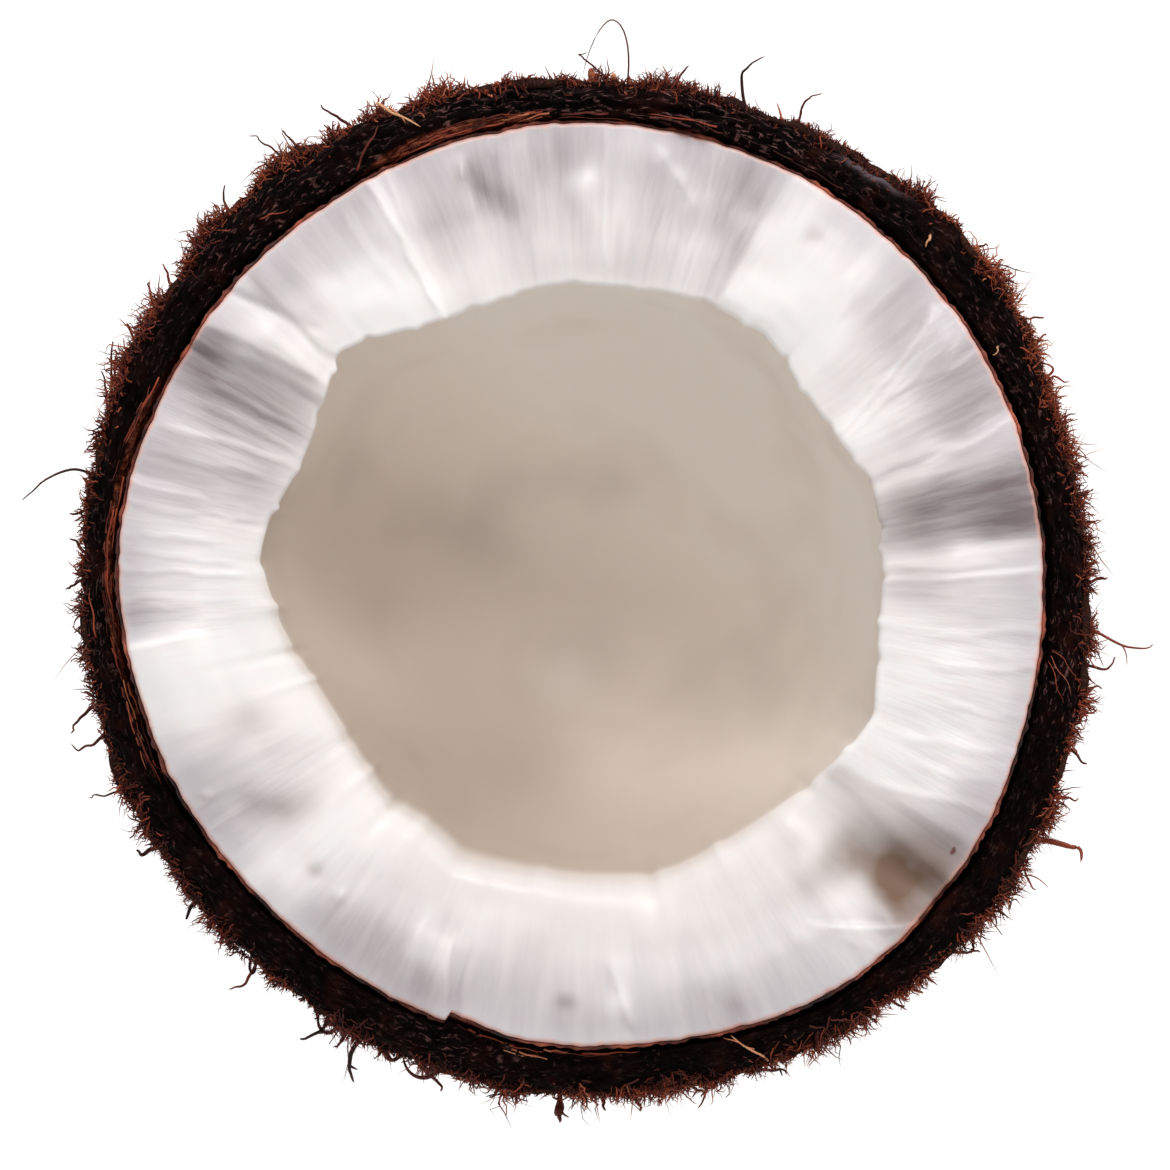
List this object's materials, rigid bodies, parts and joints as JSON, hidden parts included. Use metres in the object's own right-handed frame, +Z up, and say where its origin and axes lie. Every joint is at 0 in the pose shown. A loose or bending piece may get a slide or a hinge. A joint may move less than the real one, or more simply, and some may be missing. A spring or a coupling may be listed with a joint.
{
  "type": "coconut half",
  "caption": "Half of a mature brown coconut, cracked open: fibrous woody shell, thin brown skin and thick white flesh round an open hollow.",
  "frame": {"origin": "middle of the flat foot that the half rests on, on the outside of the shell between the eyes", "axes": "+Z up out of the open hollow, along the nut's own axis; +X and +Y lie in the plane of the foot"},
  "size_m": [0.1141, 0.108, 0.0568],
  "materials": {
    "shell": "dense, dark, grainy where it is broken",
    "brown_skin": "thin satin skin",
    "flesh": "moist satin, slightly translucent",
    "husk_fibre": "dry matted fibre"
  },
  "bodies": {
    "root": {"shell": "shell", "brown_skin": "brown_skin", "flesh": "flesh", "husk_fibres": "husk_fibre"}
  },
  "joints": []
}
